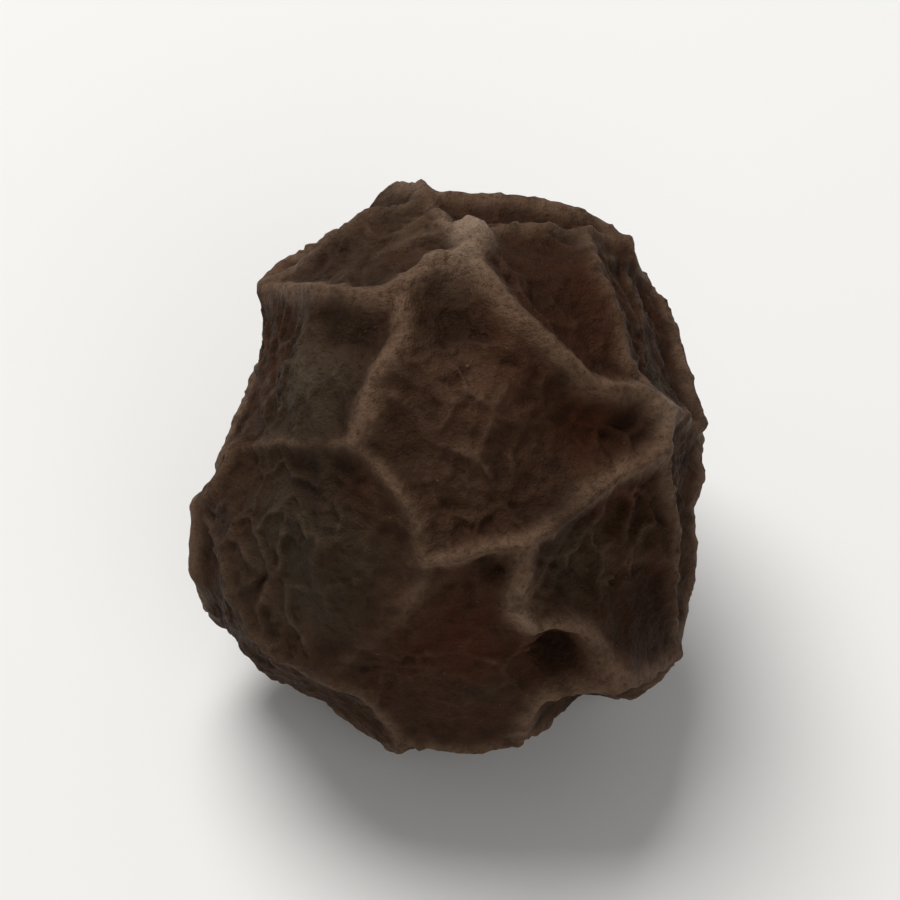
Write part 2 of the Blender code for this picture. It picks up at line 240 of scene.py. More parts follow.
# Soft noise that changes the crests and swells the floors: waves a millimetre, share, and a shift.
NOISE_SEED = 4
CREST_RISE = ((1.1, 0.8, 11), (2.9, 0.5, 23))
CREST_SWELL = ((1.6, 1.2, 37), (4.1, 0.8, 41))
FLOOR_SWELL = ((1.25, 1.0, 53), (3.3, 0.45, 61))

# The coarse grain's size, in grains, and the steps in which grain fades out towards the scar.
COARSE_GRAIN = 2.2
GRAIN_STEPS = 10

# Sway of the crests: waves a millimetre of the broad and the fine part, and the fine part's share.
SWAY_BROAD = 1.5
SWAY_FINE = 4.7
SWAY_FINE_SHARE = 0.3

# The two nets of small folds: a fold's width in cells, how far the crests flatten it, and a shift.
WRINKLE_NET = (0.14, 0.75, 5)
CREASE_NET = (0.20, 0.40, 9)

# How those folds bend, in waves a cell and in cells to either side, and how they come and go in patches.
FOLD_BEND = (0.8, 0.45)
FOLD_FINE_BEND = (2.6, 0.15)
FOLD_PATCHES = (0.45, 1.1)
FOLD_MEAN = 0.55

# The dimple in the tip's knob, as shares of the tip, and the scar's sunken middle and ring of pits.
TIP_DIMPLE = 0.35
TIP_DIMPLE_WIDTH = 0.4
SCAR_SINK = 0.030
SCAR_SINK_WIDTH = 0.14
SCAR_PITS = 7
SCAR_PIT_DEPTH = 0.020
SCAR_PIT_WIDTH = 0.07
SCAR_RING = 0.40
SCAR_RING_CHANGE = 0.05
SCAR_TURN_CHANGE = 0.35

# The smooth collar round the scar: how slowly the skin rises, and how much fine skin it keeps.
COLLAR_POWER = 1.2
COLLAR_FINE_SKIN = 0.5

# How far two colours reach: the tip's, in its widths, and the scar's, in radians past its edge.
TIP_COLOUR_REACH = 1.3
SCAR_COLOUR_REACH = 0.06

# How deep a hollow has to be for its full painted shade, and the rounds of smoothing that it is measured
# against.
HOLLOW_DEPTH = 0.05
HOLLOW_ROUNDS = 14
DEEP_DEPTH = 0.16
DEEP_ROUNDS = 110

# Places and sizes of the two soft lights, in metres.
KEY_PLACE = (-0.022, 0.034, 0.083)
KEY_SIZE = 0.062
FILL_PLACE = (0.030, -0.080, 0.056)
FILL_SIZE = 0.090

# Noises in the materials: waves a millimetre, layers, and how rough and how bent they are.
BROAD = (0.75, 2, 0.5, 0)
MOTTLE = (4.5, 6, 0.62, 0.4)
SPECKLE = (19, 4, 0.6, 0)
GRAIN = (55, 3, 0.55, 0)
CARD_TOOTH = (2.2, 5, 0.6, 0)

# Where the skin of the listed side leans to grey-green and red-brown, and where shade and light are painted
# on it:
# right, up, half the width, and how much.
GREEN_WASHES = (
    (-1.35, -0.80, 0.85, 1.0),
    (-1.30, 0.75, 0.60, 1.0),
    (1.20, -0.90, 0.45, 0.9),
    (-1.00, 2.00, 0.50, 0.3),
)
RED_WASHES = (
    (0.15, -1.60, 0.75, 1.0),
    (1.10, 1.60, 0.70, 1.0),
    (0.40, 1.00, 0.60, 0.6),
    (1.30, 0.45, 0.40, 1.0),
    (1.60, -0.30, 0.35, 0.9),
    (1.90, -1.20, 0.40, 1.0),
    (1.10, -1.65, 0.35, 1.0),
)
# Painted shade: darker patches under the ridges and in the corners of the cells.
PAINTED_SHADE_WASHES = (
    (0.05, 1.30, 0.32, 1.0),
    (0.95, 1.65, 0.50, 0.8),
    (-1.20, -0.05, 0.42, 1.0),
    (-1.35, -0.84, 0.50, 0.3),
    (1.90, -1.25, 0.45, 1.0),
    (1.10, -1.65, 0.28, 0.8),
    (-1.00, 1.32, 0.25, 0.8),
    (1.00, -0.36, 0.25, 1.0),
    (0.90, 2.00, 0.30, 0.5),
)
# Painted light: paler patches on the lit top, crests and swellings.
PAINTED_LIGHT_WASHES = (
    (0.12, 1.88, 0.30, 1.0),
    (1.85, 0.48, 0.22, 0.7),
    (0.72, -1.22, 0.22, 0.9),
    (-1.28, 0.88, 0.38, 0.4),
    (0.12, 0.78, 0.38, 0.6),
    (0.20, 0.10, 0.30, 0.4),
    (-0.30, -1.05, 0.30, 0.4),
    (-1.50, -1.45, 0.35, 0.4),
    (-0.15, 2.25, 0.35, 0.8),
    (-0.85, 2.05, 0.40, 0.2),
    (1.32, -0.84, 0.35, 0.35),
    (0.60, -1.45, 0.25, 0.3),
)


def millimetres(value, name, description):
    return FloatProperty(name=name, description=description, default=value * MM, min=0, unit="LENGTH")


def share(value, name, description):
    return FloatProperty(name=name, description=description, default=value, min=0, max=1, subtype="FACTOR")


def plain_number(value, name, description):
    return FloatProperty(name=name, description=description, default=value, min=0)


def colour(value, name, description):
    return FloatVectorProperty(
        name=name, description=description, default=value, size=3, min=0, max=1, subtype="COLOR"
    )


class PEPPERCORN_PG_shape(PropertyGroup):
    """Sizes of the skin's relief."""

    crest_height: millimetres(0.20, "Crest height", "How far a full ridge's crest stands over its foot")
    crest_width: millimetres(0.135, "Crest width", "Distance at which the crest has mostly fallen away")
    foot_height: millimetres(0.10, "Foot height", "How far the broad foot of a ridge stands over the floor")
    foot_width: millimetres(0.42, "Foot width", "Distance at which the foot has mostly run out")
    groove_depth: millimetres(0.020, "Groove depth", "Depth of the groove where a ridge meets the floor")
    crest_sway: millimetres(0.060, "Crest sway", "How far a crest wanders to either side")
    crest_change: share(0.24, "Crest change", "How much a crest rises, falls, swells and thins")
    pucker: share(0.16, "Pucker", "How much the slopes are gathered into small folds beside a crest")
    floor_swell: millimetres(0.034, "Floor swell", "Height of the soft swellings of the floors")
    wrinkle_height: millimetres(0.056, "Wrinkle height", "Height of the small wrinkles on the floors")
    wrinkle_size: millimetres(0.50, "Wrinkle size", "Width of the small cells between those wrinkles")
    crease_height: millimetres(0.023, "Crease height", "Height of the finest folds, all over the skin")
    crease_size: millimetres(0.20, "Crease size", "Width of the cells between those folds")
    grain_height: millimetres(0.016, "Grain height", "Height of the skin's grain")
    grain_size: millimetres(0.10, "Grain size", "Width of one grain")


class PEPPERCORN_PG_skin(PropertyGroup):
    """Colours and finish of the skin."""

    # The dark end of the skin's mottle, and also the colour of the painted shade in hollows and dark
    # patches.
    dark_skin_and_shade_colour: colour((0.0150, 0.0065, 0.0030), "Hollow colour", "Skin at the bottom of the hollows")
    floor_colour: colour((0.0410, 0.0190, 0.0095), "Floor colour", "Skin between the ridges")
    green_colour: colour((0.0370, 0.0285, 0.0168), "Grey-green colour", "Floors that dried greener")
    red_colour: colour((0.0460, 0.0135, 0.0048), "Red-brown colour", "Floors that dried redder")
    # The crest colour also paints light onto the lit floors, and the dust colour paints light onto the lit
    # crests.
    crest_and_light_colour: colour((0.1350, 0.0800, 0.0490), "Crest colour", "Pale rubbed skin along the crests")
    dust_and_light_colour: colour((0.2400, 0.1650, 0.1120), "Dust colour", "Rubbed-off specks, and the tip's knob")
    scar_colour: colour((0.0900, 0.0540, 0.0310), "Scar colour", "Corky scar of the stalk")
    floor_roughness: share(0.62, "Floor roughness", "Roughness of the skin between the ridges")
    crest_roughness: share(0.48, "Crest roughness", "Roughness of the rubbed crests")
    grain_bump: share(0.75, "Grain bump", "Strength of the finest grain, which only the material has")


class PEPPERCORN_PG_stage(PropertyGroup):
    """Floor, light and camera."""

    floor_colour: colour((0.78, 0.77, 0.75), "Floor colour", "Plain pale floor")
    key_power: plain_number(0.083, "Key power", "Power of the soft light overhead, in watts")
    fill_power: plain_number(0.026, "Fill power", "Power of the wide front light, in watts")
    sky: plain_number(0.24, "Sky", "Strength of the even light from all round")
    distance: millimetres(46, "Camera distance", "From the berry's middle to the camera")
    elevation: FloatProperty(
        name="Elevation", description="Height of the camera above level", default=FACE_TILT, subtype="ANGLE"
    )
    lens: FloatProperty(
        name="Lens", description="Focal length of the camera, in millimetres", default=205, min=10
    )


def deselect_all():
    if bpy.context.object and bpy.context.object.mode != "OBJECT":
        bpy.ops.object.mode_set(mode="OBJECT")
    bpy.ops.object.select_all(action="DESELECT")


def outline_radius(angle):
    """Radius of the outline at this angle, in radians, by a smooth curve through its points."""
    degrees = np.degrees(angle) % 360
    marks = np.array([mark for mark, _ in OUTLINE], float)
    radii = np.array([radius for _, radius in OUTLINE], float)
    index = np.searchsorted(marks, degrees, side="right") - 1
    following = (index + 1) % len(marks)
    part = ((degrees - marks[index]) % 360) / ((marks[following] - marks[index]) % 360)
    here, there = radii[index], radii[following]
    slope_here = (there - radii[index - 1]) / 2
    slope_there = (radii[(index + 2) % len(marks)] - here) / 2
    return (
        here * (1 + 2 * part) * (1 - part) ** 2
        + slope_here * part * (1 - part) ** 2
        + there * part**2 * (3 - 2 * part)
        - slope_there * part**2 * (1 - part)
    )


def face_direction(right, up):
    """Unit direction from the berry's middle to a place right and up on the listed side."""
    reach = min(math.hypot(right, up) / float(outline_radius(math.atan2(up, right))), 1)
    out = math.sqrt(1 - reach**2) * HALF_DEPTH
    return (right * FACE_RIGHT + up * FACE_UP + out * FACE_OUT).normalized()


def smooth_bends(points):
    """Points of a smooth curve through these, with BEND_STEPS steps from each to the next."""
    ends = [2 * points[0] - points[1], *points, 2 * points[-1] - points[-2]]
    curve = []
    for before, here, there, after in zip(ends, ends[1:], ends[2:], ends[3:]):
        for step in range(BEND_STEPS):
            part = step / BEND_STEPS
            curve.append(
                here
                + 0.5 * part * (there - before)
                + part**2 * (before - 2.5 * here + 2 * there - 0.5 * after)
                + part**3 * (1.5 * (here - there) + 0.5 * (after - before))
            )
    return [point.normalized() for point in [*curve, points[-1]]]


def face_ridges():
    """The listed ridges: points on the unit sphere, and the height's share at the start and the end."""
    ridges = []
    for start, end, first, last, bends in FACE_RIDGES:
        places = [CORNERS[start], *bends, CORNERS[end]]
        ridges.append((smooth_bends([face_direction(*place) for place in places]), first, last))
    for height, bends in FACE_WRINKLES:
        ridges.append((smooth_bends([face_direction(*place) for place in bends]), height, 0))
    return ridges


def even_directions(count):
    """Directions spread evenly over a sphere, along a spiral."""
    turn = math.pi * (3 - math.sqrt(5))
    for step in range(count):
        z = 1 - (2 * step + 1) / count
        across = math.sqrt(1 - z * z)
        yield Vector((across * math.cos(turn * step), across * math.sin(turn * step), z))


def face_edge_cells():
    """Middle of the listed side, and of a cell between each two corners where its ridges run on."""
    turns = [math.atan2(CORNERS[name][1], CORNERS[name][0]) for name in RUNS_ON]
    middles = [FACE_OUT]
    for turn, following in zip(turns, turns[1:] + turns[:1]):
        middle = turn + (following - turn) % (2 * math.pi) / 2
        sideways = math.cos(middle) * FACE_RIGHT + math.sin(middle) * FACE_UP
        middles.append(math.cos(FACE_EDGE_CELLS) * FACE_OUT + math.sin(FACE_EDGE_CELLS) * sideways)
    return middles


def back_cells(by_hand, draw):
    """Middles of the cells that aren't laid out by hand, as unit directions; the first is the scar."""
    found = [Vector((0, 0, -1))]
    for direction in even_directions(CELL_COUNT):
        shift = Vector([draw.uniform(-CELL_SHIFT, CELL_SHIFT) for _ in range(3)])
        cell = (direction + shift).normalized()
        behind = cell.angle(FACE_OUT) > FACE_EDGE_CELLS + CELL_CLEARANCE
        if behind and all(cell.angle(other) > CELL_CLEARANCE for other in [*by_hand, *found]):
            found.append(cell)
    return found


def swaying(start, end, draw):
    """Points of a ridge from one corner to another, swaying a little to either side."""
    sideways = start.cross(end).normalized() * start.angle(end)
    bow, wave = (draw.uniform(-BACK_RIDGE_SWAY, BACK_RIDGE_SWAY) for _ in range(2))
    points = []
    for step in range(BACK_RIDGE_STEPS + 1):
        part = step / BACK_RIDGE_STEPS
        sway = bow * math.sin(math.pi * part) + wave * math.sin(2 * math.pi * part)
        points.append((start.slerp(end, part) + sway * sideways).normalized())
    return points


def back_ridges():
    """Ridges along the borders of the drawn cells, and a wrinkle in from a corner of each."""
    draw = random.Random(BACK_SEED)
    by_hand = face_edge_cells()
    net = bmesh.new()
    for cell in [*by_hand, *back_cells(by_hand, draw)]:
        net.verts.new(cell)
    net.verts.index_update()
    bmesh.ops.convex_hull(net, input=net.verts)
    net.faces.index_update()
    net.normal_update()
    corners = {face.index: face.normal.copy() for face in net.faces}
    free = [face.index for face in net.faces if any(vert.index >= len(by_hand) for vert in face.verts)]
    for name in RUNS_ON:
        end = face_direction(*CORNERS[name])
        nearest = min(free, key=lambda face: (corners[face] - end).length)
        corners[nearest] = end
        free.remove(nearest)
    ridges = []
    for edge in net.edges:
        if any(vert.index >= len(by_hand) for vert in edge.verts):
            start, end = (corners[face.index] for face in edge.link_faces)
            first, last = (draw.uniform(*BACK_RIDGE_HEIGHTS) for _ in range(2))
            ridges.append((swaying(start, end, draw), first, last))
    for vert in net.verts:
        if vert.index > len(by_hand):
            corner = corners[draw.choice(vert.link_faces).index]
            end = corner.slerp(vert.co.normalized(), draw.uniform(*BACK_WRINKLE_REACH))
            ridges.append((swaying(corner, end, draw), draw.uniform(*BACK_WRINKLE_HEIGHTS), 0))
    net.free()
    return ridges


def nearest_on(ridge, directions):
    """How far each direction is from a ridge's crest, and how far along the ridge, from 0 to 1."""
    best = np.full(len(directions), np.inf)
    along = np.zeros(len(directions))
    for number, (start, end) in enumerate(zip(ridge, ridge[1:])):
        piece = end - start
        part = np.clip((directions - start) @ piece / (piece @ piece), 0, 1)
        distance = np.linalg.norm(directions - start - part[:, None] * piece, axis=1)
        closer = distance < best
        best[closer] = distance[closer]
        along[closer] = (number + part[closer]) / (len(ridge) - 1)
    return best * HALF_DEPTH, along


def waves(directions, seed, fineness):
    """A smooth uneven pattern over the sphere, mostly between -1 and 1."""
    draw = random.Random(seed)
    total = np.zeros(len(directions))
    for _ in range(WAVE_COUNT):
        wave = np.array([draw.gauss(0, fineness) for _ in range(3)])
        total += WAVE_SHARE * np.sin(directions @ wave + draw.uniform(0, 2 * math.pi))
    return total


def skin_noise(directions, layers):
    """Smooth noise over the skin, from layers that each say waves a millimetre, share and shift."""
    total = np.zeros(len(directions))
    for fineness, layer_share, apart in layers:
        shift = Vector((apart, 2 * apart, -apart))
        places = (directions * HALF_DEPTH * fineness).tolist()
        total += layer_share * np.array([noise.noise(Vector(place) + shift) for place in places])
    return total


def unevenly(along, steps, draw):
    """An uneven run of soft folds along a ridge, between -1 and 1."""
    heights = np.array([draw.uniform(-1, 1) for _ in range(steps + 2)])
    place = along * steps
    knot = np.clip(place.astype(int), 0, steps)
    part = place - knot
    ease = part * part * (3 - 2 * part)
    return heights[knot] * (1 - ease) + heights[knot + 1] * ease


def net_relief(ridges, directions, shape):
    """Height of the net over the floors, and how far each point belongs to a crest, from 0 to 1."""
    draw = random.Random(PUCKER_SEED)
    total = np.zeros(len(directions))
    groove = np.zeros(len(directions))
    crest_share = np.zeros(len(directions))
    rise = 1 + shape.crest_change * skin_noise(directions, CREST_RISE)
    swell = 1 + shape.crest_change * skin_noise(directions, CREST_SWELL)
    for points, first, last in ridges:
        ridge = np.array([tuple(point) for point in points])
        length = np.linalg.norm(np.diff(ridge, axis=0), axis=1).sum() * HALF_DEPTH
        middle = ridge.mean(axis=0) / np.linalg.norm(ridge.mean(axis=0))
        reach = math.acos(min(1, (ridge @ middle).min())) + RIDGE_REACH
        near = directions @ middle > math.cos(min(reach, math.pi))
        distance, along = nearest_on(ridge, directions[near])
        folds = unevenly(along, max(1, round(length / PUCKER_LENGTH)), draw)
        height = (first + (last - first) * along) * rise[near] * (1 + PUCKER_RISE * shape.pucker * folds)
        width = shape.crest_width / MM * swell[near] * (1 + shape.pucker * folds)
        crest = np.exp(-((distance / width) ** CREST_POWER))
        foot = np.exp(-((distance * MM / shape.foot_width) ** 2))
        ridge_height = height * (shape.crest_height * crest + shape.foot_height * foot) / MM
        total[near] += np.maximum(ridge_height, 0) ** RIDGE_BLEND
        beside = np.exp(-(((distance - GROOVE_PLACE) / GROOVE_WIDTH) ** 2)) * np.clip(height, 0, 1)
        groove[near] = np.maximum(groove[near], beside * (1 + GROOVE_CHANGE * folds))
        crest_share[near] = np.maximum(crest_share[near], crest * np.clip(height, 0, 1) ** 0.8)
    relief = total ** (1 / RIDGE_BLEND) * (1 + CREST_VARIATION * waves(directions, CREST_SEED, CREST_WAVES))
    relief = relief / (1 + (np.maximum(relief, 0) / CORNER_LIMIT) ** CORNER_POWER) ** (1 / CORNER_POWER)
    groove *= np.clip(1 - crest_share, 0, 1)
    return relief - groove * shape.groove_depth / MM, crest_share


def body_radius(directions, shape):
    """Radius of the berry without its ridges."""
    right, up, out = (directions @ np.array(axis) for axis in (FACE_RIGHT, FACE_UP, FACE_OUT))
    rim = outline_radius(np.arctan2(up, right))
    full = 1 / np.sqrt((right**2 + up**2) / rim**2 + out**2 / HALF_DEPTH**2)
    return full - RIM_SHARE * (shape.crest_height + shape.foot_height) / MM


def away_from(directions, right, up):
    """Distance of each direction from a place on the listed side."""
    return np.linalg.norm(directions - np.array(face_direction(right, up)), axis=1) * HALF_DEPTH


def lumps(directions):
    """Height of the dents and swellings."""
    total = UNEVENNESS * waves(directions, UNEVENNESS_SEED, UNEVENNESS_WAVES)
    for right, up, height, width in FACE_LUMPS:
        total += height * np.exp(-((away_from(directions, right, up) / width) ** 2))
    return total


def washes(directions, places):
    """How much of a colour lies at each direction, from a table of places."""
    total = np.zeros(len(directions))
    for right, up, width, amount in places:
        total = np.maximum(total, amount * np.exp(-((away_from(directions, right, up) / width) ** 2)))
    return total


def wander(directions, reach):
    """The directions, moved aside by an uneven sway of about this reach, so that no crest runs smooth."""
    moved = np.empty_like(directions)
    for number, point in enumerate((directions * HALF_DEPTH).tolist()):
        place = Vector(point)
        fine_sway = SWAY_FINE_SHARE * noise.noise_vector(place * SWAY_FINE)
        moved[number] = place + reach * (noise.noise_vector(place * SWAY_BROAD) + fine_sway)
    return moved / np.linalg.norm(moved, axis=1)[:, None]


def fine_net(directions, size, line, apart):
    """Height of a net of fine folds, from 0 to about 1, that fades in and out over the skin."""
    heights = np.empty(len(directions))
    shift = Vector((apart, -apart, 2 * apart))
    (waves_broad, reach_broad), (waves_fine, reach_fine) = FOLD_BEND, FOLD_FINE_BEND
    patch_waves, patch_change = FOLD_PATCHES
    for number, point in enumerate((directions * HALF_DEPTH).tolist()):
        place = Vector(point)
        broad = reach_broad * noise.noise_vector(place / size * waves_broad)
        fine = reach_fine * noise.noise_vector(place / size * waves_fine)
        bent = place + size * (broad + fine)
        near, second = noise.voronoi(bent / size + shift)[0][:2]
        patch = FOLD_MEAN + patch_change * noise.noise(place / size * patch_waves + shift)
        heights[number] = math.exp(-(((second - near) / line) ** 2)) * max(0, patch)
    return heights


def angle_from(directions, axis):
    return np.arccos(np.clip(directions @ np.array(axis), -1, 1))


def sharpen_scar_edge(directions):
    """The directions, with those next to the scar's edge moved onto it."""
    scar_edge = math.atan(SCAR_RADIUS / SCAR_DEPTH)
    from_scar = angle_from(directions, (0, 0, -1))
    faces = 2 * len(directions)
    spacing = math.sqrt(16 * math.pi / (math.sqrt(3) * faces))  # between neighbouring points
    on_edge = np.abs(from_scar - scar_edge) < 0.45 * spacing
    across = directions[on_edge, :2]
    across = across / np.linalg.norm(across, axis=1)[:, None] * math.sin(scar_edge)
    directions[on_edge, :2] = across
    directions[on_edge, 2] = -math.cos(scar_edge)
    return directions


def scar_pits(directions):
    """Depth of the small pits where the stalk's strands broke off, and of the sunken middle of the scar."""
    across = directions[:, :2] / np.maximum(-directions[:, 2:], 0.05) * SCAR_DEPTH
    below = directions[:, 2] < -0.5
    depth = SCAR_SINK * np.exp(-((np.linalg.norm(across, axis=1) / SCAR_SINK_WIDTH) ** 2))
    for number in range(SCAR_PITS):
        turn = 2 * math.pi * number / SCAR_PITS + SCAR_TURN_CHANGE * math.sin(5 * number)
        ring = SCAR_RING + SCAR_RING_CHANGE * math.cos(3 * number)
        pit = np.array((math.cos(turn), math.sin(turn))) * ring
        depth += SCAR_PIT_DEPTH * np.exp(-((np.linalg.norm(across - pit, axis=1) / SCAR_PIT_WIDTH) ** 2))
    return np.where(below, depth, 0)


def fine_skin(directions, crest, shape):
    """Height of the small wrinkles, the finest folds and the soft swellings of the floors."""
    wrinkle_line, wrinkle_fade, wrinkle_shift = WRINKLE_NET
    crease_line, crease_fade, crease_shift = CREASE_NET
    wrinkles = fine_net(directions, shape.wrinkle_size / MM, wrinkle_line, wrinkle_shift)
    creases = fine_net(directions, shape.crease_size / MM, crease_line, crease_shift)
    fine = wrinkles * (1 - wrinkle_fade * crest) * shape.wrinkle_height / MM
    fine += creases * (1 - crease_fade * crest) * shape.crease_height / MM
    return fine + shape.floor_swell / MM * skin_noise(directions, FLOOR_SWELL)


def push_out(mesh, shape):
    """Pushes the points out to the wrinkled skin, keeps what the colours need, returns where grain goes."""
    count = len(mesh.vertices)
    places = np.empty(count * 3)
    mesh.vertices.foreach_get("co", places)
    directions = places.reshape(-1, 3) - (0, 0, SCAR_DEPTH * MM)
    directions /= np.linalg.norm(directions, axis=1)[:, None]
    directions = sharpen_scar_edge(directions)

    noise.seed_set(NOISE_SEED)
    swayed = wander(directions, shape.crest_sway / MM)
    relief, crest = net_relief(face_ridges() + back_ridges(), swayed, shape)
    from_tip = away_from(swayed, *CORNERS["tip"]) / TIP_WIDTH
    tip = np.exp(-(from_tip**3)) * (1 - TIP_DIMPLE * np.exp(-((from_tip / TIP_DIMPLE_WIDTH) ** 2)))
    fine = fine_skin(directions, crest, shape)
    skin = body_radius(directions, shape) + relief + lumps(directions) + TIP_HEIGHT * tip + fine

    # The skin runs from the flat scar, where ridged is 0, up its collar to the full net, where ridged is 1.
    scar_edge = math.atan(SCAR_RADIUS / SCAR_DEPTH)
    from_scar = angle_from(directions, (0, 0, -1))
    ridged = np.clip((from_scar - scar_edge) / (COLLAR_END - scar_edge), 0, 1) ** COLLAR_POWER
    radius = ridged * skin + (1 - ridged) * math.hypot(SCAR_RADIUS, SCAR_DEPTH)
    radius += COLLAR_FINE_SKIN * fine * np.clip(ridged * 8, 0, 1) * (1 - ridged)
    scar = from_scar <= scar_edge + 1e-6
    radius[scar] = (SCAR_DEPTH - scar_pits(directions)[scar]) / np.cos(from_scar[scar])

    points = directions * radius[:, None] * MM + (0, 0, SCAR_DEPTH * MM)
    mesh.vertices.foreach_set("co", points.ravel())
    mesh.update()

    keep_value(mesh, "crest", crest * np.clip(ridged * 1.5, 0, 1))
    # The hollow and deep measures, of how far the skin lies below its smoothed neighbours, carry painted
    # shade into the hollows.
    hollow = depth_below_neighbours(mesh, points, HOLLOW_ROUNDS)
    deep_shade = depth_below_neighbours(mesh, points, DEEP_ROUNDS)
    keep_value(mesh, "hollow", np.clip(hollow / (HOLLOW_DEPTH * MM), -1, 1) * 0.5 + 0.5)
    keep_value(mesh, "deep_shade", np.clip(deep_shade / (DEEP_DEPTH * MM), -1, 1) * 0.5 + 0.5)
    # Grey-green and red-brown casts, painted shade and painted light.
    for name, places in (
        ("green", GREEN_WASHES),
        ("red", RED_WASHES),
        ("painted_shade", PAINTED_SHADE_WASHES),
        ("painted_light", PAINTED_LIGHT_WASHES),
    ):
        keep_value(mesh, name, washes(directions, places))
    keep_value(mesh, "tip", np.exp(-((from_tip / TIP_COLOUR_REACH) ** 2)))
    past_edge = np.maximum(from_scar - scar_edge, 0)
    keep_value(mesh, "scar", np.exp(-((past_edge / SCAR_COLOUR_REACH) ** 2)))
    return np.clip(ridged * 6, 0, 1)


def depth_below_neighbours(mesh, points, rounds):
    """How far each point lies below the smoothed skin round it, in metres."""
    ends = np.empty(len(mesh.edges) * 2, int)
    mesh.edges.foreach_get("vertices", ends)
    one, other = ends.reshape(-1, 2).T
    links = np.bincount(np.concatenate((one, other)), minlength=len(points)).astype(float)
    middle = np.array((0, 0, SCAR_DEPTH * MM))
    radius = np.linalg.norm(points - middle, axis=1)
    smooth = radius.copy()
    for _ in range(rounds):
        total = np.bincount(one, smooth[other], len(points)) + np.bincount(other, smooth[one], len(points))
        smooth = total / links
    return smooth - radius


def keep_value(mesh, name, values):
    mesh.attributes.new(name, "FLOAT", "POINT").data.foreach_set("value", values.astype(np.float32))


def add_grain(berry, weights, shape):
    """Grains and short ridges finer than the wrinkles, by two displacements that spare the scar."""
    group = berry.vertex_groups.new(name="skin")
    for step in range(GRAIN_STEPS + 1):
        chosen = np.nonzero(np.round(weights * GRAIN_STEPS) == step)[0]
        group.add(chosen.tolist(), step / GRAIN_STEPS, "REPLACE")
    for name, kind, size, height in (
        ("coarse_grain", "MUSGRAVE", shape.grain_size * COARSE_GRAIN, shape.grain_height),
        ("grain", "CLOUDS", shape.grain_size, shape.grain_height),
    ):
        texture = bpy.data.textures.new(name, kind)
        texture.noise_scale = size
        if kind == "MUSGRAVE":
            texture.musgrave_type = "RIDGED_MULTIFRACTAL"
            texture.octaves = 3
        else:
            texture.noise_depth = 3
        displace = berry.modifiers.new(name, "DISPLACE")
        displace.texture = texture
        displace.texture_coords = "LOCAL"
        displace.vertex_group = "skin"
        displace.mid_level = 0.5
        displace.strength = height
        bpy.ops.object.modifier_apply(modifier=name)


class Nodes:
    """Adds and links the nodes of one material."""

    def __init__(self, name):
        self.material = bpy.data.materials.new(name)
        self.material.use_nodes = True
        self.tree = self.material.node_tree
        self.shader = self.tree.nodes["Principled BSDF"]

    def add(self, kind, **settings):
        node = self.tree.nodes.new(kind)
        for name, value in settings.items():
            setattr(node, name, value)
        return node

    def put(self, socket, value):
        """Links an output to a socket, or sets the socket's own value."""
        if isinstance(value, bpy.types.NodeSocket):
            self.tree.links.new(value, socket)
        elif hasattr(value, "__len__") and len(value) == 3 and socket.type == "RGBA":
            socket.default_value = (*value, 1)
        else:
            socket.default_value = value

    def value_of(self, attribute):
        return self.add("ShaderNodeAttribute", attribute_name=attribute).outputs["Fac"]

    def maths(self, operation, one, other):
        node = self.add("ShaderNodeMath", operation=operation)
        self.put(node.inputs[0], one)
        self.put(node.inputs[1], other)
        return node.outputs[0]

    def range(self, value, low, high, first=0.0, last=1.0):
        """The value, spread from low and high to first and last, smoothly and held at both ends."""
        node = self.add("ShaderNodeMapRange", interpolation_type="SMOOTHSTEP")
        for socket, number in zip(node.inputs[:5], (value, low, high, first, last)):
            self.put(socket, number)
        return node.outputs[0]

    def mix(self, factor, one, other):
        node = self.add("ShaderNodeMix", data_type="RGBA")
        self.put(node.inputs["Factor"], factor)
        self.put(node.inputs[6], one)
        self.put(node.inputs[7], other)
        return node.outputs[2]

    def noise(self, place, kind):
        """Noise at a place, from a row of its fineness, layers, roughness and bend."""
        node = self.add("ShaderNodeTexNoise")
        self.put(node.inputs["Vector"], place)
        for name, value in zip(("Scale", "Detail", "Roughness", "Distortion"), kind):
            self.put(node.inputs[name], value)
        return node.outputs["Fac"]

    def bump(self, height, distance, strength, over=None):
        """Normal of a bumped surface; distance is in millimetres, and over is a normal to add it to."""
        node = self.add("ShaderNodeBump")
        self.put(node.inputs["Strength"], strength)
        self.put(node.inputs["Distance"], distance * MM)
        self.put(node.inputs["Height"], height)
        if over is not None:
            self.put(node.inputs["Normal"], over)
        return node.outputs["Normal"]


def place_in_millimetres(nodes):
    mapping = nodes.add("ShaderNodeMapping")
    mapping.inputs["Scale"].default_value = (1 / MM, 1 / MM, 1 / MM)
    nodes.put(mapping.inputs["Vector"], nodes.add("ShaderNodeTexCoord").outputs["Object"])
    return mapping.outputs["Vector"]


